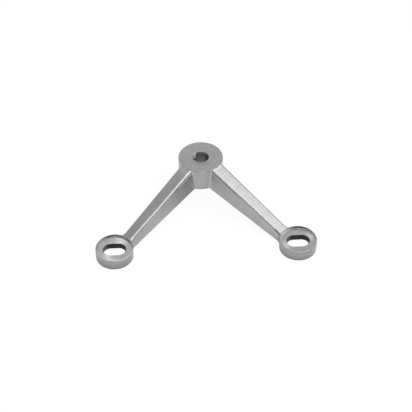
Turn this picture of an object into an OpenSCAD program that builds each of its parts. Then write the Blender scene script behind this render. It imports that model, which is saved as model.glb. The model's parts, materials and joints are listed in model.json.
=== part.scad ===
// Two-arm spider fitting for point-held glass: one casting in stainless steel.
// Millimetres. The origin is on the bore's axis in the hub's turned face, +Z along the bore.
// The arms fall from the hub towards -Y and spread evenly to both sides of it.

/* [Hub] */
// Diameter of the hub
hub_d = 55; // [50:0.5:62]
// Height of the hub along the bore
hub_h = 29.5; // [26:0.5:34]
// Diameter of the bore for the fixing bolt
bore_d = 20; // [12:0.5:24]
// Rounding of the hub's two outer edges
hub_edge_r = 0.8; // [0.4:0.1:1.5]
// Edge break at both mouths of the bore
bore_break = 0.5; // [0.2:0.1:1]

/* [Arms] */
// Distance between the centres of the two slots
slot_spacing = 220; // [190:1:260]
// Angle between the two arms, seen along the bore
arm_angle = 90; // [80:1:110]
// Flat-to-flat width of an arm's top where it leaves the hub
arm_root_w = 17; // [14:0.5:20]
// Width of an arm's top where it reaches the ring
arm_tip_w = 14.2; // [11.4:0.2:16.6]
// Draft of the arm's sides
arm_draft = 9.5; // [5:0.5:12]
// Step from the hub's and ring's faces to the arm's top and underside
arm_step = 0.4; // [0.3:0.1:1.2]
// Rounding of the arm's two upper edges
arm_top_r = 2.6; // [1.6:0.1:3.6]
// Rounding of the arm's two lower edges
arm_foot_r = 1.5; // [1:0.1:2.5]
// Radius of the web between an arm and the hub
root_fillet = 1; // [0.8:0.1:4]
// Radius of the web between an arm and its ring
tip_fillet = 10; // [5:0.5:13]

/* [Rings] */
// Outer diameter of a ring
ring_d = 45; // [42:0.5:52]
// Height of a ring
ring_h = 14; // [12:0.5:17]
// Drop from the hub's face to the rings' rims
ring_drop = 39.5; // [32:0.5:55]
// Rounding of a ring's outer edges
ring_edge_r = 0.8; // [0.4:0.1:1.2]
// Width of the rim round the recess
rim_w = 1.3; // [1:0.1:2.5]
// Depth of the turned recess in a ring's face
recess_depth = 3; // [2:0.2:4]
// Depth of the turned recess in a ring's underside
foot_recess_depth = 3; // [2:0.2:4]
// Rounding between a recess's wall and floor
recess_corner_r = 0.6; // [0.4:0.1:1.8]
// Width of the slot
slot_w = 18; // [14:0.5:20]
// Length of the slot, end to end
slot_len = 27; // [22:0.5:32]
// Edge break at both mouths of the slot
slot_break = 0.5; // [0.3:0.1:1]

/* [Hidden] */
$fn = 96;

// Steps of the loft: round one corner, and along each web
corner_steps = 5;
web_steps = 8;
// How far a cut runs past the face it opens
cut_over = 1;
// How deep a web sinks into the wall it meets
web_sink = 0.12;
// How far an arm reaches into the hub's wall and into the ring
root_inside = 8.5;
tip_inside = 6;

half_angle = arm_angle / 2;
hub_r = hub_d / 2;
ring_r = ring_d / 2;
reach = slot_spacing / 2 / sin(half_angle);
ring_x = slot_spacing / 2;
ring_y = -reach * cos(half_angle);
ring_top = -ring_drop;
ring_foot = ring_top - ring_h;

// An arm's straight lines run between the two stations where it leaves the walls
root_s = hub_r;
tip_s = reach - ring_r;
top_root_z = -arm_step;
top_tip_z = ring_top - arm_step;
foot_root_z = -hub_h + arm_step;
foot_tip_z = ring_foot + arm_step;

function blend(s, a, b) = a + (b - a) * (min(max(s, root_s), tip_s) - root_s) / (tip_s - root_s);
function top_z(s) = blend(s, top_root_z, top_tip_z);
function foot_z(s) = blend(s, foot_root_z, foot_tip_z);
function top_half(s) = blend(s, arm_root_w, arm_tip_w) / 2;
function foot_half(s) = top_half(s) + (top_z(s) - foot_z(s)) * tan(arm_draft);

// A web of radius r is tangent to a straight side at half width w and to a round wall of radius wall
function web_run(w, r, wall) = sqrt(pow(wall - web_sink + r, 2) - pow(w + r, 2));
function web_len(w, r, wall) = web_run(w, r, wall) * r / (wall - web_sink + r);
function web_add(u, r) = r - sqrt(r * r - u * u);
function tip_add(s, w) =
    web_add(min(max(s - reach + web_run(w, tip_fillet, ring_r), 0), web_len(w, tip_fillet, ring_r)),
        tip_fillet);
function root_add(s, w) =
    web_add(min(max(web_run(w, root_fillet, hub_r) - s, 0), web_len(w, root_fillet, hub_r)),
        root_fillet);
function webbed(s, w, w_root, w_tip) = w + root_add(s, w_root) + tip_add(s, w_tip);

function corner(cx, cz, r, a0, a1) = [
    for (i = [0:corner_steps])
        let (a = a0 + (a1 - a0) * i / corner_steps) [cx + r * cos(a), cz + r * sin(a)]
];
// Half of the section at a station, from the underside up to the top
function half_section(a, b, zt, zb) =
    let (d = atan2(b - a, zt - zb))
        concat(
            corner(b - arm_foot_r * (1 + sin(d)) / cos(d), zb + arm_foot_r, arm_foot_r, -90, d),
            corner(a - arm_top_r * (1 - sin(d)) / cos(d), zt - arm_top_r, arm_top_r, d, 90)
        );
function section(s) =
    let (
        a = webbed(s, top_half(s), top_half(root_s), top_half(tip_s)),
        b = webbed(s, foot_half(s), foot_half(root_s), foot_half(tip_s)),
        right = half_section(a, b, top_z(s), foot_z(s)),
        n = len(right)
    )
        concat(
            [for (p = right) [s, p[0], p[1]]],
            [for (i = [n - 1:-1:0]) [s, -right[i][0], right[i][1]]]
        );

// Stations: the root's web, the straight stretch, the tip's web
root_end = web_run(top_half(root_s), root_fillet, hub_r);
root_start = root_end - web_len(top_half(root_s), root_fillet, hub_r);
tip_start = reach - web_run(top_half(tip_s), tip_fillet, ring_r);
tip_end = tip_start + web_len(foot_half(tip_s), tip_fillet, ring_r);
stations = concat(
    [hub_r - root_inside],
    [for (i = [0:web_steps]) root_start + (root_end - root_start) * i / web_steps],
    [for (i = [0:web_steps]) tip_start + (tip_end - tip_start) * i / web_steps],
    [reach - ring_r + tip_inside]
);

module arm() {
    rows = [for (s = stations) section(s)];
    m = len(rows);
    n = len(rows[0]);
    sides = [
        for (i = [0:m - 2], j = [0:n - 1])
            let (k = (j + 1) % n, p = i * n, q = p + n)
                each [[p + j, q + k, p + k], [p + j, q + j, q + k]]
    ];
    caps = [[for (j = [0:n - 1]) j], [for (j = [n - 1:-1:0]) (m - 1) * n + j]];
    rotate([0, 0, half_angle - 90])
        polyhedron(points = [for (r = rows) each r], faces = concat(sides, caps), convexity = 4);
}

// A turned blank standing on its underside, with both outer edges rounded
module turned(r, h, edge) {
    rotate_extrude()
        union() {
            square([r - edge, h]);
            translate([0, edge])
                square([r, h - 2 * edge]);
            translate([r - edge, edge])
                circle(edge);
            translate([r - edge, h - edge])
                circle(edge);
        }
}

module hub() {
    translate([0, 0, -hub_h])
        turned(hub_r, hub_h, hub_edge_r);
}

module bore() {
    translate([0, 0, -hub_h - cut_over])
        cylinder(d = bore_d, h = hub_h + 2 * cut_over);
    translate([0, 0, -bore_break])
        cylinder(r1 = bore_d / 2, r2 = bore_d / 2 + bore_break, h = bore_break);
    translate([0, 0, -hub_h])
        cylinder(r1 = bore_d / 2 + bore_break, r2 = bore_d / 2, h = bore_break);
}

module ring() {
    translate([ring_x, ring_y, ring_foot])
        turned(ring_r, ring_h, ring_edge_r);
}

// A turned recess seen as the tool that cuts it: floor at z = 0, mouth upwards
module recess(depth) {
    rotate_extrude()
        union() {
            square([ring_r - rim_w - recess_corner_r, depth + cut_over]);
            translate([0, recess_corner_r])
                square([ring_r - rim_w, depth + cut_over - recess_corner_r]);
            translate([ring_r - rim_w - recess_corner_r, recess_corner_r])
                circle(recess_corner_r);
        }
}

module recesses() {
    translate([ring_x, ring_y, ring_top - recess_depth])
        recess(recess_depth);
    translate([ring_x, ring_y, ring_foot + foot_recess_depth])
        mirror([0, 0, 1])
            recess(foot_recess_depth);
}

// A straight run along X with a round end at each side, through the web between the recesses
module slot() {
    run = slot_len - slot_w;
    translate([ring_x, ring_y, ring_foot]) {
        for (side = [-1, 1])
            translate([side * run / 2, 0, 0])
                cylinder(d = slot_w, h = ring_h);
        translate([-run / 2, -slot_w / 2, 0])
            cube([run, slot_w, ring_h]);
    }
    translate([ring_x, ring_y, ring_top - recess_depth])
        slot_mouth();
    translate([ring_x, ring_y, ring_foot + foot_recess_depth])
        mirror([0, 0, 1])
            slot_mouth();
}

// The chamfer round a slot's mouth: its widest edge is at z = 0
module slot_mouth() {
    run = slot_len - slot_w;
    half = slot_w / 2;
    for (side = [-1, 1])
        translate([side * run / 2, 0, -slot_break])
            cylinder(r1 = half, r2 = half + slot_break, h = slot_break);
    translate([-run / 2, 0, 0])
        rotate([90, 0, 90])
            linear_extrude(run)
                polygon([
                    [-half - slot_break, 0],
                    [-half, -slot_break],
                    [half, -slot_break],
                    [half + slot_break, 0]
                ]);
}

module spider_casting() {
    color("silver")
        difference() {
            union() {
                hub();
                for (side = [0, 1])
                    mirror([side, 0, 0]) {
                        arm();
                        ring();
                    }
            }
            bore();
            for (side = [0, 1])
                mirror([side, 0, 0]) {
                    recesses();
                    slot();
                }
        }
}

spider_casting();
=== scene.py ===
import json
import math

import bpy
from mathutils import Matrix, Vector

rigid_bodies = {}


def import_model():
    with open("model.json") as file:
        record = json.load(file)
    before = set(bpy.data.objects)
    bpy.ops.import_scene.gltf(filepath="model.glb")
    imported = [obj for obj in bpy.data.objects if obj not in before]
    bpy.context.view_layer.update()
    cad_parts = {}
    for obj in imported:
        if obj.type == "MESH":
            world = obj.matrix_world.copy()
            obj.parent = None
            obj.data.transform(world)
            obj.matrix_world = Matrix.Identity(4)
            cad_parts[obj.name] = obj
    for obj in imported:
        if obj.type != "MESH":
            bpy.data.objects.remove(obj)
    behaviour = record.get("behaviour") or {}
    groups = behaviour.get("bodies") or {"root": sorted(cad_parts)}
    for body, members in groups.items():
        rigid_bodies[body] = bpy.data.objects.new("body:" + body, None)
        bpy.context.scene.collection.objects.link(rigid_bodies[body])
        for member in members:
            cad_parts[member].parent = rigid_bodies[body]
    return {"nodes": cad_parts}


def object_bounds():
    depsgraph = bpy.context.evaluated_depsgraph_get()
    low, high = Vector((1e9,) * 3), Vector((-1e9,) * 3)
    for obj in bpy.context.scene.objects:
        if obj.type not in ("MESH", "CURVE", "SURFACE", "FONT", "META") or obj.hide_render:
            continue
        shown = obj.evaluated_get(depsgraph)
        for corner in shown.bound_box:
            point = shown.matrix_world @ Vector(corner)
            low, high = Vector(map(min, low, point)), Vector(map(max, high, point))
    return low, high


for leftover in list(bpy.data.objects):
    bpy.data.objects.remove(leftover)

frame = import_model()
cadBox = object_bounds()
casting = frame["nodes"]["spider_casting"]
print("spider fitting: casting loaded")


# A node's socket that can be used in plain arithmetic: each operator adds its Math node
class Value:
    def __init__(self, tree, socket):
        self.tree = tree
        self.socket = socket

    def math(self, operation, *others):
        return self.tree.add("ShaderNodeMath", {"operation": operation}, self, *others)

    def __add__(self, other): return self.math("ADD", other)
    def __radd__(self, other): return self.math("ADD", other)
    def __sub__(self, other): return self.math("SUBTRACT", other)
    def __rsub__(self, other): return (-self) + other
    def __mul__(self, other): return self.math("MULTIPLY", other)
    def __rmul__(self, other): return self.math("MULTIPLY", other)
    def __truediv__(self, other): return self.math("DIVIDE", other)
    def __rtruediv__(self, other): return self.math("POWER", -1.0) * other
    def __neg__(self): return self.math("MULTIPLY", -1.0)
    def __abs__(self): return self.math("ABSOLUTE")

    def clip(self, low=0.0, high=1.0):
        return self.math("MAXIMUM", low).math("MINIMUM", high)

    # 0 below low, 1 above high, eased in between
    def step(self, low, high):
        settings = {"interpolation_type": "SMOOTHSTEP"}
        return self.tree.add("ShaderNodeMapRange", settings, self, low, high, 0.0, 1.0)


class NodeTree:
    def __init__(self, tree):
        self.tree = tree
        tree.nodes.clear()

    # Any node: its settings come first, then values or links for its sockets, by place or by
    # name. What comes back is its first output, the one that out names, or all of them.
    def add(self, kind, settings=None, *places, out=0, **named):
        node = self.tree.nodes.new(kind)
        for key, value in (settings or {}).items():
            setattr(node, key, value)
        for place, value in enumerate(places):
            self.fill(node.inputs[place], value)
        for name, value in named.items():
            self.fill(node.inputs[name.replace("_", " ")], value)
        if out == "all":
            return [Value(self, output) for output in node.outputs]
        return Value(self, node.outputs[out]) if node.outputs else None

    def fill(self, socket, value):
        if isinstance(value, Value):
            self.tree.links.new(value.socket, socket)
        elif value is not None:
            socket.default_value = value

    def vector(self, operation, *others, out=0):
        return self.add("ShaderNodeVectorMath", {"operation": operation}, *others, out=out)

    def dot(self, a, b):
        return self.vector("DOT_PRODUCT", a, b, out="Value")

    def scaled(self, vector, factor):
        return self.add("ShaderNodeVectorMath", {"operation": "SCALE"}, vector, Scale=factor)

    def joined(self, x, y, z):
        return self.add("ShaderNodeCombineXYZ", None, x, y, z)

    def split(self, vector):
        return self.add("ShaderNodeSeparateXYZ", None, vector, out="all")

    # Two colours mixed or multiplied: between the factor and them, the node has five sockets
    # for numbers and vectors
    def mixed(self, factor, first, second, blend="MIX"):
        settings = {"data_type": "RGBA", "blend_type": blend}
        unused = [None] * 5
        return self.add("ShaderNodeMix", settings, factor, *unused, first, second, out=2)

    def noise(self, vector, scale, detail, roughness):
        return self.add("ShaderNodeTexNoise", {"noise_dimensions": "3D"}, vector,
                        Scale=scale, Detail=detail, Roughness=roughness)

    # The same, even about 0
    def unevenness(self, vector, scale, detail, roughness):
        return self.noise(vector, scale, detail, roughness) - 0.5


cameraView = {
    "azimuth": -3.77,          # degrees round the bore's axis
    "elevation": 44.7,         # degrees above the hub's face
    "distance": 1.52,          # metres to the centre of the hub's face
    "lens": 107.66,            # millimetres, for the sensor below
    "sensor": 36.0,
    "across": -0.00653,        # metres from the view's middle to the hub's face, to the right
    "upward": 0.0607,
    "clip": (0.05, 60.0),
}


def placeCamera(view):
    azimuth, elevation = math.radians(view["azimuth"]), math.radians(view["elevation"])
    back = Vector((math.sin(azimuth) * math.cos(elevation),
                   -math.cos(azimuth) * math.cos(elevation),
                   math.sin(elevation)))
    right = Vector((math.cos(azimuth), math.sin(azimuth), 0.0))
    up = back.cross(right)
    data = bpy.data.cameras.new("camera")
    data.lens = view["lens"]
    data.sensor_width = view["sensor"]
    data.clip_start, data.clip_end = view["clip"]
    camera = bpy.data.objects.new("camera", data)
    camera.matrix_world = Matrix((right, up, back)).transposed().to_4x4()
    camera.location = back * view["distance"] - right * view["across"] - up * view["upward"]
    bpy.context.scene.collection.objects.link(camera)
    bpy.context.scene.camera = camera


placeCamera(cameraView)
print("spider fitting: camera placed")


# How the casting's own facets are shaded: one surface's join up, real edges stay crisp
shading = {
    "weldDistance": 0.000004,               # metres
    "crispAngle": math.radians(68.0),
    "faceWeight": 100,
}


def smoothSurfaces(piece, settings):
    group = bpy.data.node_groups.new("smoothSurfaces", "GeometryNodeTree")
    for way in ("INPUT", "OUTPUT"):
        group.interface.new_socket("Geometry", in_out=way, socket_type="NodeSocketGeometry")
    tree = NodeTree(group)
    shape = tree.add("NodeGroupInput")
    shape = tree.add("GeometryNodeRemoveAttribute", None, shape, Name="custom_normal")
    shape = tree.add("GeometryNodeMergeByDistance", None, shape,
                     Distance=settings["weldDistance"])
    shape = tree.add("GeometryNodeSetShadeSmooth", {"domain": "FACE"}, shape)
    angle = tree.add("GeometryNodeInputMeshEdgeAngle", out="Unsigned Angle")
    crisp = tree.add("FunctionNodeCompare", {"operation": "GREATER_THAN"}, angle,
                     settings["crispAngle"])
    shape = tree.add("GeometryNodeSetShadeSmooth", {"domain": "EDGE"}, shape,
                     Selection=crisp, Shade_Smooth=False)
    tree.add("NodeGroupOutput", None, shape)
    piece.modifiers.new("smoothSurfaces", "NODES").node_group = group
    weighted = piece.modifiers.new("evenNormals", "WEIGHTED_NORMAL")
    weighted.keep_sharp = True
    weighted.weight = settings["faceWeight"]


smoothSurfaces(casting, shading)
print("spider fitting: surfaces smoothed")


# Satin stainless steel, turned on the hub's and rings' faces and linished on the arms.
# Lengths are in millimetres. A pair says where a mask starts and where it is full.
# Noises have a scale, a detail and a roughness. Tones are shares added to 1; those from sides
# down to slots are painted light and shade.
# A patch of painted light or shade has a share, a heading in degrees round the hub's or ring's
# axis, and a tightness.
steel = {
    "colour": (0.40, 0.40, 0.397, 1.0),
    "toneRange": (0.05, 2.45),
    "roughness": {
        "all": 0.28,
        "cloud": 0.10,
        "holes": 0.15,
        "recessFloors": 0.08,
        "fine": 0.04,
        "range": (0.1, 1.0),
    },
    "sizes": {
        "hubRadius": 27.5,
        "boreRadius": 10.0,
        "ringRadius": 22.5,
        "ringPlace": 110.0,        # of a ring's axis, along X and against Y
        "recessRadius": 21.2,
        "rimHeight": -39.5,
        "footHeight": -53.5,
        "slotHalfRun": 4.5,
        "slotRadius": 9.0,
        "armStep": 0.4,            # from the hub's face down to the arm's top
        "armStart": 26.74,         # where the arm's straight lines start
        "armFall": 0.3714,         # for each millimetre along the arm
        "armHalfWidth": 8.5,
        "armTaper": 0.01317,
    },
    # a round wall's are counted outwards from its radius
    "masks": {
        "right": (-0.1, 0.1),
        "awayFromHub": (40.0, 40.5),
        "level": (0.985, 0.995),
        "notUpright": (0.55, 0.75),
        "armTop": (0.80, 0.88),
        "outerSide": (-2.0, 2.0),
        "pastTurning": (-0.05, 0.0),
        "armFromHub": (0.1, 1.0),
        "armFromRing": (0.1, 1.5),
        "hubSide": (-1.5, -1.0),
        "ringSide": (0.4, 0.8),
        "pastRingSide": (0.1, 1.0),
        "pastBore": (0.1, 0.2),
        "pastBoreMouth": (0.5, 0.6),
        "boreNearSide": (3.0, 6.0),
        "pastSlot": (0.5, 0.6),
        "aboveFloor": (-1.0, -0.5),
        "pastRecess": (0.2, 0.4),
        "recessWall": (-0.8, -0.5),
        "pastRim": (0.0, 0.1),
        "rimHeight": (-1.0, -0.8),
        "hubEdge": (-0.9, -0.6),
        "hubEdgeHeight": (-1.0, -0.7),
    },
    "turning": {
        "grooves": (5.0, 2.0, 0.7),
        "passes": (0.9, 1.0, 0.5),
        "passPlace": 7.0,          # keeps the passes' noise away from the grooves'
        "passShare": 0.15,
        "lean": 0.32,
        "smears": (1.0, 2.0, 0.6),
        "smearTurn": 2.4,
        "smearStep": 0.8,
        "passTone": 0.14,
        "smearTone": 0.42,
    },
    "linishing": {
        "grain": (1.0, 2.0, 0.6),
        "grainScale": (4.0, 0.12, 0.12),       # along the arm, across it and down
        "grainLean": 0.20,
        "grainTone": 0.10,
        "bands": (1.0, 2.0, 0.65),
        "bandScale": (0.42, 0.05, 0.05),
        "bandShift": 9.0,                      # keeps the two arms' bands apart
        "bandLean": 0.06,
        "bandTone": 0.30,
        "slope": -0.37,
    },
    "skin": {
        "peen": (0.55, 3.0, 0.6),
        "peenHeight": 0.25,
        "fine": (3.5, 2.0, 0.6),
        "fineHeight": 0.05,
        "strength": 0.35,
        "depth": 0.0006,                       # metres
        "cloud": (0.06, 3.0, 0.55),
        "cloudTone": 0.14,
        "mottle": (0.30, 2.0, 0.6),
        "mottleTone": 0.12,
    },
    # painted shade on the sides, at the hub's left end and along its top edge
    "sides": {
        "all": -0.07,
        "ringTop": -0.14,
        "ringFoot": -0.20,
        "hubLeftEnd": -0.28,
        "hubLeft": (0.80, 0.96),               # sine of the heading
        "hubEdge": -0.10,
        "hubEdgeRight": (-0.26, 312.0, 5.0),
    },
    # painted light and shade on the arms' inner sides
    "innerSides": {
        "leftDip": -0.18,
        "dipStart": (24.0, 40.0),
        "dipEnd": (50.0, 95.0),
        "leftFoot": 0.13,
        "rightFoot": -0.09,
        "footLine": 16.0,                      # depth of the darker half at the hub
        "footFall": 0.30,
        "foot": (-4.0, 12.0),
        "footStart": (50.0, 80.0),
    },
    # painted shade on the hub's face
    "hubFace": {
        "all": -0.055,
        "outer": (16.0, 25.0),
        "outerShare": 0.5,
        "nearBore": (-0.13, 268.0, 3.0),
        "pastNearBore": (12.5, 17.0),
    },
    # painted light where the arms meet the hub
    "roots": {
        "hubLeft": 0.30,
        "hubRight": 0.29,
        "hubCorner": (0.30, 0.50),             # sine of the heading
        "rightSide": 0.34,
        "leftTop": 0.20,
        "pastRoot": (0.0, 13.0),
    },
    # painted shade on the right arm's top, and a painted highlight on its strip at the hub
    "rightTop": {
        "all": -0.12,
        "strip": 0.34,
        "pastStrip": (1.3, 2.2),
    },
    # painted highlights and shade along the arms' inner ridges; depths count down from the
    # arm's top, places along the arm from the bore's axis
    "ridges": {
        "top": (0.15, 0.50),
        "bottom": (1.25, 1.65),
        "foot": (1.45, 1.85),
        "pastRoot": (50.0, 85.0),
        "tip": (85.0, 125.0),
        "nearRing": (124.0, 127.5),
    },
    # painted highlight on the right arm's inner ridge, painted shade at its foot, painted light
    # below it near the hub
    "rightRidge": {
        "light": 1.75,
        "lightShares": (0.6, -0.55, 0.4),      # at the root, near the ring, everywhere
        "foot": -0.92,
        "footShares": (0.85, 0.35, 0.15),
        "footEnd": (2.7, 3.1),
        "under": 0.32,
        "underStart": (2.9, 3.6),
        "underEnd": (5.0, 7.5),
        "pastUnder": (38.0, 56.0),
    },
    # painted highlight strip on the left arm's top edge, painted shade on its ridge, painted
    # light at its foot near the hub
    "leftRidge": {
        "strip": 0.55,
        "stripTip": 0.85,
        "stripWidth": (1.8, 3.7),
        "stripDepth": (0.0, 0.3),
        "pastStrip": (131.0, 133.5),
        "shade": -0.17,
        "shadeTip": -0.30,
        "foot": 0.80,
        "footEnd": (3.6, 5.2),
        "pastFoot": (36.0, 56.0),
    },
    # painted highlight fans on the left ring's recess floor
    "leftFloor": {
        "outerHalf": (13.5, 17.5),
        "farFan": (0.62, 60.0, 13.0),
        "nearFanInside": (0.775, 229.0, 13.0),
        "nearFanOutside": (0.775, 252.0, 9.0),
        "farCorner": (1.90, 76.0, 22.0),
        "cornerStart": (16.5, 19.5),
    },
    # painted highlight fans on the right ring's recess floor, with painted shade over the rest
    # of it
    "rightFloor": {
        "all": -0.12,
        "outerHalf": (13.5, 17.5),
        "farFan": (0.54, 21.0, 13.0),
        "farFanStart": (12.5, 16.5),
        "nearFanInside": (0.54, 197.0, 13.0),
        "nearFanOutside": (0.54, 203.0, 13.0),
        "fade": (17.0, 20.0),
        "fadeShare": 0.6,
    },
    # painted reflections, light and dark, on the left ring's recess wall and rim
    "leftWall": {
        "farWall": (-0.54, 97.0, 7.0),
        "farCorner": (1.50, 74.0, 22.0),
        "aboveCorner": (-2.6, -2.2),
        "farRim": (-0.46, 86.0, 4.0),
        "nearRim": (0.45, 228.0, 7.0),
    },
    # painted reflections, light and dark, on the right ring's recess wall, rim and the top of
    # its outer wall
    "rightWall": {
        "all": 0.55,
        "farWall": (-0.95, 97.0, 9.0),
        "leftFarWall": (0.22, 137.0, 10.0),
        "leftFarRim": (0.90, 140.0, 8.0),
        "nearRim": (-0.16, 285.0, 5.0),
        "underRim": (-0.26, 285.0, 5.0),
        "underStart": (-3.3, -2.7),
        "underEnd": (-1.6, -1.1),
    },
    # the bore's wall: a darker colour as painted shade, painted light at its mouth and at its
    # left
    "bore": {
        "colour": (0.29, 0.29, 0.291),
        "patch": 2.4,                          # light caught at the left of the mouth
        "patchLeft": (4.3, 6.6),
        "patchHeight": (-10.0, -6.0),
        "patchFar": (4.0, 6.8),
        "patchNearShare": 0.55,
        "patchDull": 0.7,
        "mouth": 1.2,
        "mouthHeight": (-4.0, -1.5),
        "ragged": (1.0, 2.0, 0.6),
        "raggedTurns": 2.6,
        "raggedHeight": 7.0,
    },
    # the slots' walls: a near-black colour as painted shade, painted light at their left ends
    "slots": {
        "colour": (0.04, 0.04, 0.041),
        "patch": 2.4,
        "patchLeft": (6.0, 13.0),
    },
}

perMetre = 1000.0
diagonal = math.sqrt(0.5)          # sine and cosine of the arms' 45 degrees


# Where a point of the casting lies, and a mask for each of its surfaces
class CastingPlaces:
    def __init__(self, tree, sizes, masks):
        self.tree, self.sizes, self.masks = tree, sizes, masks
        self.point = tree.scaled(tree.add("ShaderNodeTexCoord", out="Object"), perMetre)
        self.normal = tree.add("ShaderNodeNewGeometry", out="Normal")
        self.x, self.y, self.z = tree.split(self.point)
        self.normalZ = tree.split(self.normal)[2]
        self.right = self.x.step(*masks["right"])
        self.left = 1 - self.right
        self.side = self.right * 2 - 1         # 1 on the right, -1 on the left
        self.measure()
        self.findHubAndRings()
        self.findArms()
        self.findHoles()
        self.findEdges()

    # 1 outside a round wall, 0 inside it
    def beyond(self, distance, radius, edge):
        start, full = edge
        return distance.step(self.sizes[radius] + start, self.sizes[radius] + full)

    def within(self, distance, radius, edge):
        return 1 - self.beyond(distance, radius, edge)

    # Painted light or shade that is full towards one side of the hub or a ring and less away
    # from it
    def patch(self, outward, share, degrees, tightness):
        angle = math.radians(degrees)
        heading = (math.cos(angle), math.sin(angle), 0.0)
        return ((self.tree.dot(outward, heading) - 1) * tightness).math("EXPONENT") * share

    def hubPatch(self, share, degrees, tightness):
        return self.patch(self.hubOutward, share, degrees, tightness)

    def ringPatch(self, share, degrees, tightness):
        return self.patch(self.ringOutward, share, degrees, tightness)

    # Distances from the hub's axis and the nearer ring's, along an arm and across it
    def measure(self):
        tree, x, y = self.tree, self.x, self.y
        self.hubDistance = (x * x + y * y).math("SQRT")
        self.ringX = abs(x) - self.sizes["ringPlace"]
        self.ringY = y + self.sizes["ringPlace"]
        self.ringDistance = (self.ringX * self.ringX + self.ringY * self.ringY).math("SQRT")
        self.nearHub = 1 - self.hubDistance.step(*self.masks["awayFromHub"])
        awayFromHub = 1 - self.nearHub
        self.axisDistance = self.hubDistance * self.nearHub + self.ringDistance * awayFromHub
        self.hubOutward = tree.vector("NORMALIZE", tree.joined(x, y, 0.0))
        ringPlace = tree.joined(self.ringX * self.side, self.ringY, 0.0)
        self.ringOutward = tree.vector("NORMALIZE", ringPlace)
        self.outward = tree.vector("ADD", tree.scaled(self.hubOutward, self.nearHub),
                                   tree.scaled(self.ringOutward, awayFromHub))
        self.underRim = self.z - self.sizes["rimHeight"]
        self.along = (abs(x) - y) * diagonal
        self.across = (abs(x) + y) * diagonal      # below 0 on the inner side

    def findHubAndRings(self):
        hub, ring, masks = self.hubDistance, self.ringDistance, self.masks
        self.level = abs(self.normalZ).step(*masks["level"])
        self.upright = 1 - abs(self.normalZ).step(*masks["notUpright"])
        self.inHub = self.within(hub, "hubRadius", masks["pastTurning"])
        self.inRing = self.within(ring, "ringRadius", masks["pastTurning"])
        self.turned = ((self.inHub + self.inRing) * self.level).clip()
        self.onArm = (self.beyond(hub, "hubRadius", masks["armFromHub"])
                      * self.beyond(ring, "ringRadius", masks["armFromRing"]))
        self.hubSide = (self.beyond(hub, "hubRadius", masks["hubSide"]) * self.upright
                        * (1 - self.onArm) * self.nearHub)
        self.ringSide = (self.beyond(ring, "recessRadius", masks["ringSide"]) * self.upright
                         * self.within(ring, "ringRadius", masks["pastRingSide"]))

    def findArms(self):
        sizes = self.sizes
        self.armTop = self.normalZ.step(*self.masks["armTop"]) * self.onArm
        inner = 1 - self.across.step(*self.masks["outerSide"])
        self.innerSide = inner * self.upright * self.onArm
        self.innerHalf = inner * self.onArm
        fromStart = self.along - sizes["armStart"]
        self.depth = -sizes["armStep"] - fromStart * sizes["armFall"] - self.z
        self.inset = sizes["armHalfWidth"] - fromStart * sizes["armTaper"] + self.across

    def findHoles(self):
        hub, ring, masks = self.hubDistance, self.ringDistance, self.masks
        nearMouth = (self.within(hub, "boreRadius", masks["pastBoreMouth"])
                     * (-self.y).step(*masks["boreNearSide"]))
        boreWall = self.within(hub, "boreRadius", masks["pastBore"])
        self.boreWall = boreWall.math("MAXIMUM", nearMouth)
        run = (abs(self.ringX) - self.sizes["slotHalfRun"]).math("MAXIMUM", 0.0)
        slotDistance = (run * run + self.ringY * self.ringY).math("SQRT")
        self.slotWall = self.within(slotDistance, "slotRadius", masks["pastSlot"])
        self.holes = (self.boreWall + self.slotWall).clip()
        aboveFloor = self.underRim.step(*masks["aboveFloor"])
        self.recessFloor = self.inRing * self.level * (1 - aboveFloor)
        self.inRecess = self.within(ring, "recessRadius", masks["pastRecess"])
        wall = self.beyond(ring, "recessRadius", masks["recessWall"])
        self.recessWall = self.inRecess * wall * (1 - self.level)

    def findEdges(self):
        masks = self.masks
        rim = self.within(self.ringDistance, "ringRadius", masks["pastRim"])
        self.rimEdge = rim * self.underRim.step(*masks["rimHeight"]) * (1 - self.inRecess)
        edge = self.beyond(self.hubDistance, "hubRadius", masks["hubEdge"])
        edge = edge * self.z.step(*masks["hubEdgeHeight"])
        self.hubEdge = edge * self.nearHub * (1 - self.onArm)
        self.machined = (self.turned + self.inRecess + self.rimEdge + self.hubEdge).clip()


# Rings of fine grooves that lean the surface in and out, with the smears of each pass
def turningMarks(at, look):
    tree, distance = at.tree, at.axisDistance
    grooves = tree.unevenness(tree.joined(distance, 0.0, 0.0), *look["grooves"])
    passes = tree.unevenness(tree.joined(distance, look["passPlace"], 0.0), *look["passes"])
    place = tree.vector("ADD", tree.scaled(at.outward, look["smearTurn"]),
                        tree.joined(0.0, 0.0, distance * look["smearStep"]))
    smears = tree.unevenness(place, *look["smears"])
    lean = (grooves + passes * look["passShare"]) * at.turned * look["lean"]
    tone = (passes * look["passTone"] + smears * look["smearTone"]) * at.turned
    return tree.scaled(at.outward, lean), tone


# Fine marks across the arms and the broader bands of each pass
def linishingMarks(at, look):
    tree = at.tree
    lengthwise, sideways, down = look["grainScale"]
    place = tree.joined(at.along * lengthwise, at.across * sideways, at.z * down)
    grain = tree.unevenness(place, *look["grain"])
    lengthwise, sideways, down = look["bandScale"]
    shifted = at.across * sideways + at.side * look["bandShift"]
    bands = tree.unevenness(tree.joined(at.along * lengthwise, shifted, at.z * down),
                            *look["bands"])
    armWay = tree.joined(at.side * diagonal, -diagonal, look["slope"])
    lean = (grain * look["grainLean"] + bands * look["bandLean"]) * at.onArm
    tone = (grain * look["grainTone"] + bands * look["bandTone"]) * at.onArm
    return tree.scaled(armWay, lean), tone


# Painted shade on the sides: the hub's and arms' sides a little darker, the rings' outer walls
# darker towards their undersides
def sidePaintedShade(at, look):
    top, foot = at.sizes["rimHeight"], at.sizes["footHeight"]
    low = (top - at.z) / (top - foot)
    ring = at.ringSide * (low.clip() * look["ringFoot"] + look["ringTop"])
    return 1 + (at.hubSide + at.onArm * at.upright) * look["all"] + ring


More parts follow.
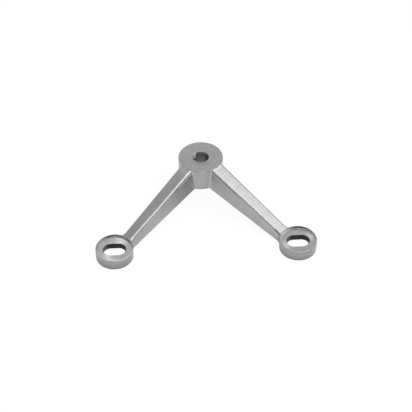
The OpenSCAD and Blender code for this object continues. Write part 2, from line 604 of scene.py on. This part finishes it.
# Painted shade at the left end of the hub's side and along the hub's top edge, most towards the
# front right
def hubSidePaintedShade(at, look):
    leftEnd = at.hubSide * (-at.x / at.hubDistance).step(*look["hubLeft"]) * look["hubLeftEnd"]
    edge = at.hubPatch(*look["hubEdgeRight"]) + look["hubEdge"]
    return 1 + leftEnd + at.hubEdge * edge


# Painted light and shade on the arms' inner sides: the left one darker near the hub and lighter
# low down further out, the right one darker low down further out
def innerSidePaintedLightAndShade(at, look):
    along = at.along
    dip = along.step(*look["dipStart"]) * (1 - along.step(*look["dipEnd"])) * look["leftDip"]
    line = (along - at.sizes["hubRadius"]) * look["footFall"]
    foot = (-at.z - look["footLine"] - line).step(*look["foot"])
    foot = foot * along.step(*look["footStart"])
    left = (dip + foot * look["leftFoot"]) * at.left
    return 1 + at.innerSide * (left + foot * look["rightFoot"] * at.right)


# Painted shade on the hub's turned face, most at the bore's near edge
def hubFacePaintedShade(at, look):
    face = (1 - at.hubDistance.step(*look["outer"]) * look["outerShare"]) * look["all"]
    nearBore = 1 - at.hubDistance.step(*look["pastNearBore"])
    nearBore = at.hubPatch(*look["nearBore"]) * nearBore
    return 1 + at.inHub * at.level * (face + nearBore)


# Painted light where the arms meet the hub: on the hub's side at the corners, on the right
# arm's inner side and on the left arm's top
def rootPaintedLight(at, look):
    corner = abs(at.x / at.hubDistance).step(*look["hubCorner"]) * at.hubSide
    corner = corner * (at.left * look["hubLeft"] + at.right * look["hubRight"])
    root = at.within(at.hubDistance, "hubRadius", look["pastRoot"])
    arm = at.innerSide * at.right * look["rightSide"] + at.left * at.armTop * look["leftTop"]
    return 1 + corner + root * arm


# Painted shade on the right arm's top, and a painted highlight on the strip of it against the
# hub
def rightTopPaintedLightAndShade(at, look):
    strip = at.within(at.hubDistance, "hubRadius", look["pastStrip"])
    return 1 + at.right * at.armTop * (look["all"] + strip * look["strip"])


# Painted highlights and shade along each arm's inner ridge and at its foot
def ridgePaintedLightAndShade(at, both, onRight, onLeft):
    along, depth = at.along, at.depth
    rootward = 1 - along.step(*both["pastRoot"])
    tipward = along.step(*both["tip"])
    nearRing = along.step(*both["nearRing"])
    ridge = at.innerHalf * depth.step(*both["top"]) * (1 - depth.step(*both["bottom"]))
    foot = at.innerHalf * depth.step(*both["foot"])

    atRoot, atRing, everywhere = onRight["lightShares"]
    light = (rootward * atRoot + nearRing * atRing + everywhere) * onRight["light"]
    atRoot, atRing, everywhere = onRight["footShares"]
    shade = (rootward * atRoot + nearRing * atRing + everywhere) * onRight["foot"]
    shade = shade * (1 - depth.step(*onRight["footEnd"]))
    under = depth.step(*onRight["underStart"]) * (1 - depth.step(*onRight["underEnd"]))
    under = under * (1 - along.step(*onRight["pastUnder"])) * at.innerHalf * onRight["under"]
    right = ridge * light + foot * shade + under

    strip = (1 - at.inset.step(*onLeft["stripWidth"])) * (1 - depth.step(*onLeft["stripDepth"]))
    strip = strip * at.innerHalf * (1 - along.step(*onLeft["pastStrip"]))
    left = strip * (tipward * onLeft["stripTip"] + onLeft["strip"])
    left = left + ridge * (tipward * onLeft["shadeTip"] + onLeft["shade"])
    nearRoot = (1 - depth.step(*onLeft["footEnd"])) * (1 - along.step(*onLeft["pastFoot"]))
    left = left + foot * nearRoot * onLeft["foot"]
    return 1 + right * at.right + left * at.left


# A painted highlight fan on the near side, that turns a little between the floor's inner and
# outer half
def paintedNearFan(at, look):
    outer = at.ringDistance.step(*look["outerHalf"])
    return (at.ringPatch(*look["nearFanInside"]) * (1 - outer)
            + at.ringPatch(*look["nearFanOutside"]) * outer)


# Painted highlights: the two bright fans that a turned floor throws, painted on each recess
# floor
def floorPaintedFans(at, onLeft, onRight):
    ring = at.ringDistance
    left = at.ringPatch(*onLeft["farFan"]) + paintedNearFan(at, onLeft)
    left = left + at.ringPatch(*onLeft["farCorner"]) * ring.step(*onLeft["cornerStart"])
    farFan = at.ringPatch(*onRight["farFan"]) * ring.step(*onRight["farFanStart"])
    fade = 1 - ring.step(*onRight["fade"]) * onRight["fadeShare"]
    right = (paintedNearFan(at, onRight) + farFan) * fade + onRight["all"]
    return 1 + at.recessFloor * (left * at.left + right * at.right)


# Painted reflections: what the recesses' walls and the rims would mirror, as light and shade in
# their colour
def wallPaintedReflections(at, onLeft, onRight):
    underRim = at.underRim
    corner = at.ringPatch(*onLeft["farCorner"]) * (1 - underRim.step(*onLeft["aboveCorner"]))
    left = at.recessWall * (at.ringPatch(*onLeft["farWall"]) + corner)
    rim = at.ringPatch(*onLeft["farRim"]) + at.ringPatch(*onLeft["nearRim"])
    left = left + at.rimEdge * rim

    wall = at.ringPatch(*onRight["farWall"]) + onRight["all"]
    right = at.recessWall * (wall + at.ringPatch(*onRight["leftFarWall"]))
    rim = at.ringPatch(*onRight["leftFarRim"]) * (1 - at.level)
    right = right + at.rimEdge * (rim + at.ringPatch(*onRight["nearRim"]))
    under = underRim.step(*onRight["underStart"]) * (1 - underRim.step(*onRight["underEnd"]))
    right = right + at.ringSide * under * at.ringPatch(*onRight["underRim"])
    return 1 + left * at.left + right * at.right


# The bore's colour, darker than the steel as painted shade, with painted light at its mouth,
# whose lower edge is ragged, and at its left, and how dull that patch is
def borePaintedLightAndShade(at, look):
    tree = at.tree
    far = at.y.step(*look["patchFar"]) * (1 - look["patchNearShare"]) + look["patchNearShare"]
    patch = (-at.x).step(*look["patchLeft"]) * at.z.step(*look["patchHeight"]) * far
    ragged = tree.unevenness(tree.scaled(at.hubOutward, look["raggedTurns"]), *look["ragged"])
    mouth = (at.z + ragged * look["raggedHeight"]).step(*look["mouthHeight"]) * look["mouth"]
    light = (patch * look["patch"]).math("MAXIMUM", mouth) + 1
    dull = patch * at.boreWall * look["patchDull"]
    return tree.scaled(look["colour"], light), dull


# Painted shade: the slots' walls near black, with painted light towards the left end of each
# slot
def slotPaintedShade(at, look):
    light = (-at.ringX * at.side).step(*look["patchLeft"]) * look["patch"] + 1
    return at.tree.scaled(look["colour"], light)


def satinSteel(look):
    material = bpy.data.materials.new("satinStainlessSteel")
    material.use_nodes = True
    tree = NodeTree(material.node_tree)
    at = CastingPlaces(tree, look["sizes"], look["masks"])

    turningLean, turningTone = turningMarks(at, look["turning"])
    linishingLean, linishingTone = linishingMarks(at, look["linishing"])
    leaned = tree.vector("ADD", tree.vector("ADD", at.normal, turningLean), linishingLean)
    leaned = tree.vector("NORMALIZE", leaned)

    # the cast skin's soft unevenness, and its clouds
    skin = look["skin"]
    peen = tree.noise(at.point, *skin["peen"])
    fine = tree.noise(at.point, *skin["fine"])
    height = (peen * skin["peenHeight"] + fine * skin["fineHeight"]) * (1 - at.machined)
    normal = tree.add("ShaderNodeBump", None, Strength=skin["strength"],
                      Distance=skin["depth"], Height=height, Normal=leaned)
    cloud = tree.unevenness(at.point, *skin["cloud"])
    mottle = tree.unevenness(at.point, *skin["mottle"])
    tone = 1 + cloud * skin["cloudTone"] + mottle * skin["mottleTone"]
    tone = tone + turningTone + linishingTone

    # Painted light and shade, set by place on the casting and multiplied into the steel's tone
    paintedTones = [
        sidePaintedShade(at, look["sides"]),
        hubSidePaintedShade(at, look["sides"]),
        innerSidePaintedLightAndShade(at, look["innerSides"]),
        hubFacePaintedShade(at, look["hubFace"]),
        rootPaintedLight(at, look["roots"]),
        rightTopPaintedLightAndShade(at, look["rightTop"]),
        ridgePaintedLightAndShade(at, look["ridges"], look["rightRidge"], look["leftRidge"]),
        floorPaintedFans(at, look["leftFloor"], look["rightFloor"]),
        wallPaintedReflections(at, look["leftWall"], look["rightWall"]),
    ]
    for paintedTone in paintedTones:
        tone = tone * paintedTone
    tone = tone.clip(*look["toneRange"])

    # The bore's and slots' walls take their own colours, with painted light and shade in them
    boreColour, boreDull = borePaintedLightAndShade(at, look["bore"])
    base = tree.mixed(1.0, look["colour"], tree.joined(tone, tone, tone), "MULTIPLY")
    base = tree.mixed(at.boreWall, base, boreColour)
    base = tree.mixed(at.slotWall, base, slotPaintedShade(at, look["slots"]))

    shares = look["roughness"]
    rough = shares["all"] + cloud * shares["cloud"] + at.holes * shares["holes"]
    rough = rough + at.recessFloor * shares["recessFloors"] + fine * shares["fine"]
    surface = tree.add("ShaderNodeBsdfPrincipled", None, Base_Color=base,
                       Metallic=1 - boreDull, Roughness=rough.clip(*shares["range"]),
                       Normal=normal)
    tree.add("ShaderNodeOutputMaterial", None, surface)
    return material


for slot in casting.material_slots:
    slot.material = satinSteel(steel)
print("spider fitting: steel finished")


studio = {
    "floorSize": 14.0,           # metres
    "seenGlow": 0.93,            # share of the floor's white that no shadow dims, to the eye
    "mirroredGlow": 0.32,        # the same, in the steel's reflections
    "floorLight": 0.93,          # what the lamps and the world bring to the floor
    "bouncingTone": 0.8,         # the floor's grey for light that bounces off it
    "worldLevel": 0.64,
    "horizon": (0.0, 0.45),      # heights between which the world goes from white to its level
    "spots": [
        # direction, tightness, level added
        ((0.0, 0.80, 0.60), 6.0, 0.16),
        ((-0.45, -0.50, 0.74), 8.0, -0.56),
        ((0.05, -0.80, 0.60), 12.0, -0.30),
    ],
    "lampsAim": (0.0, -0.055, 0.0),
    "lamps": [
        {"name": "overheadSoftbox", "at": (0.43, -0.18, 1.00), "size": 1.36, "level": 1.75},
        {"name": "backSoftbox", "at": (-0.22, 0.72, 1.20), "size": 0.28, "level": 1.6},
    ],
}


white = (1.0, 1.0, 1.0, 1.0)


# White where nothing shades it: part of it glows, the rest is lit and takes the shadows
def whiteFloor(tree, glow, light):
    lit = (1.0 - glow) / light
    matte = tree.add("ShaderNodeBsdfDiffuse", None, (lit, lit, lit, 1.0))
    emission = tree.add("ShaderNodeEmission", None, white, glow)
    return tree.add("ShaderNodeAddShader", None, matte, emission)


def paleFloor(settings):
    material = bpy.data.materials.new("paleFloor")
    material.use_nodes = True
    tree = NodeTree(material.node_tree)
    glossy = tree.add("ShaderNodeLightPath", out="Is Glossy Ray")
    through = tree.add("ShaderNodeLightPath", out="Is Transmission Ray")
    mirrored = (glossy + through).clip()
    seen = (tree.add("ShaderNodeLightPath", out="Is Camera Ray") + glossy + through).clip()
    light, grey = settings["floorLight"], settings["bouncingTone"]
    shown = tree.add("ShaderNodeMixShader", None, mirrored,
                     whiteFloor(tree, settings["seenGlow"], light),
                     whiteFloor(tree, settings["mirroredGlow"], light))
    bouncing = tree.add("ShaderNodeBsdfDiffuse", None, (grey, grey, grey, 1.0))
    above = tree.add("ShaderNodeMixShader", None, seen, bouncing, shown)
    isBelow = tree.add("ShaderNodeNewGeometry", out="Backfacing")
    clear = tree.add("ShaderNodeBsdfTransparent")      # seen from below, the floor is clear
    tree.add("ShaderNodeOutputMaterial", None,
             tree.add("ShaderNodeMixShader", None, isBelow, above, clear))
    return material


def makeFloor(settings):
    half = settings["floorSize"] / 2
    low = cadBox[0].z
    mesh = bpy.data.meshes.new("floor")
    corners = [(-half, -half, low), (half, -half, low), (half, half, low), (-half, half, low)]
    mesh.from_pydata(corners, [], [(0, 1, 2, 3)])
    mesh.materials.append(paleFloor(settings))
    floor = bpy.data.objects.new("floor", mesh)
    bpy.context.scene.collection.objects.link(floor)


def makeWorld(settings):
    world = bpy.data.worlds.new("studio")
    world.use_nodes = True
    bpy.context.scene.world = world
    tree = NodeTree(world.node_tree)
    direction = tree.vector("NORMALIZE", tree.add("ShaderNodeTexCoord", out="Generated"))
    up = tree.split(direction)[2]
    whiteShare = 1 - settings["worldLevel"]
    level = settings["worldLevel"] + (1 - up.step(*settings["horizon"])) * whiteShare
    for toward, tightness, added in settings["spots"]:
        facing = tree.dot(direction, tuple(Vector(toward).normalized()))
        level = level + ((facing - 1) * tightness).math("EXPONENT") * added
    background = tree.add("ShaderNodeBackground", None, white, level)
    tree.add("ShaderNodeOutputWorld", None, background)


def hangLamp(lamp, aim):
    data = bpy.data.lights.new(lamp["name"], "AREA")
    data.shape = "SQUARE"
    data.size = lamp["size"]
    data.energy = lamp["level"] * math.pi * lamp["size"] ** 2
    light = bpy.data.objects.new(lamp["name"], data)
    light.location = lamp["at"]
    light.rotation_mode = "QUATERNION"
    light.rotation_quaternion = (light.location - Vector(aim)).to_track_quat("Z", "Y")
    bpy.context.scene.collection.objects.link(light)


makeFloor(studio)
makeWorld(studio)
for lamp in studio["lamps"]:
    hangLamp(lamp, studio["lampsAim"])
bpy.context.scene.view_settings.view_transform = "Standard"
print("spider fitting: studio lit")
